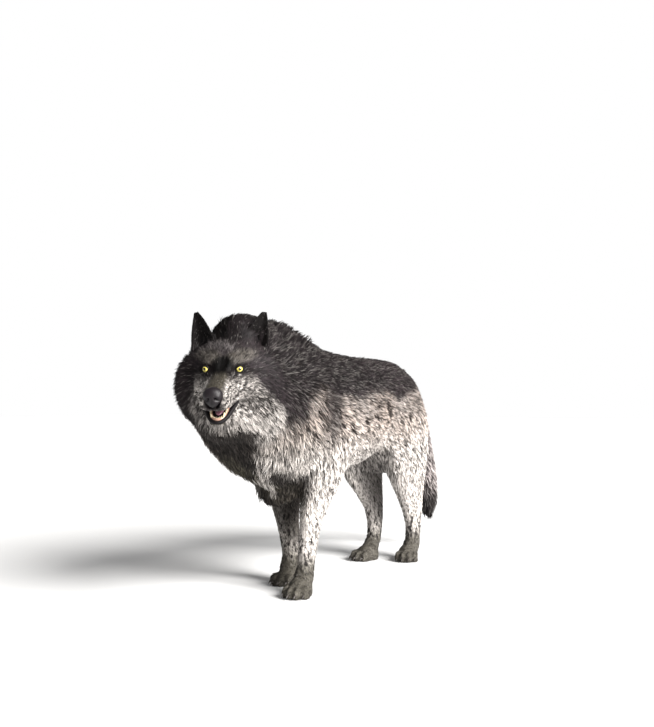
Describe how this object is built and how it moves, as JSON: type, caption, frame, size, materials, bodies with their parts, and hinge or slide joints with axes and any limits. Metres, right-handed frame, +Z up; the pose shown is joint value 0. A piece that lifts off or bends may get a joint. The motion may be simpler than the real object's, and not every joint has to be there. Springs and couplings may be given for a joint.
{
  "type": "timber wolf",
  "caption": "Life-size timber wolf standing still in full winter coat, head turned to its left, mouth slightly open.",
  "frame": {"origin": "on the floor, under the middle of the bounding box", "axes": "+Z up; the wolf faces -Y with its tail towards +Y; its left side is +X"},
  "size_m": [0.387, 1.6738, 0.8884],
  "materials": {
    "coat_dark": "dense fur, near black",
    "coat_grey": "dense fur, dark grey",
    "coat_pale": "dense fur, cream and pale grey",
    "nose_leather": "fine-grained, moist, satin",
    "iris": "clear and wet, yellow iris",
    "gum": "wet gum with ivory teeth",
    "tongue": "wet, dark pink",
    "claw_horn": "dark horn, slightly glossy"
  },
  "bodies": {
    "root": {"head": "coat_grey", "jaw": "coat_pale", "neck": "coat_grey", "trunk": "coat_pale", "tail": "coat_dark", "leg_front_left": "coat_pale", "leg_front_right": "coat_pale", "leg_hind_left": "coat_pale", "leg_hind_right": "coat_pale", "paw_front_left": "coat_pale", "paw_front_right": "coat_pale", "paw_hind_left": "coat_pale", "paw_hind_right": "coat_pale", "ear_left": "coat_dark", "ear_right": "coat_dark", "eye_left": "iris", "eye_right": "iris", "nose": "nose_leather", "tongue": "tongue", "gum_lower": "gum", "gum_upper": "gum", "claw_front_left_outer": "claw_horn", "claw_front_left_mid_outer": "claw_horn", "claw_front_left_mid_inner": "claw_horn", "claw_front_left_inner": "claw_horn", "claw_front_right_outer": "claw_horn", "claw_front_right_mid_outer": "claw_horn", "claw_front_right_mid_inner": "claw_horn", "claw_front_right_inner": "claw_horn", "claw_hind_left_outer": "claw_horn", "claw_hind_left_mid_outer": "claw_horn", "claw_hind_left_mid_inner": "claw_horn", "claw_hind_left_inner": "claw_horn", "claw_hind_right_outer": "claw_horn", "claw_hind_right_mid_outer": "claw_horn", "claw_hind_right_mid_inner": "claw_horn", "claw_hind_right_inner": "claw_horn"}
  },
  "joints": []
}
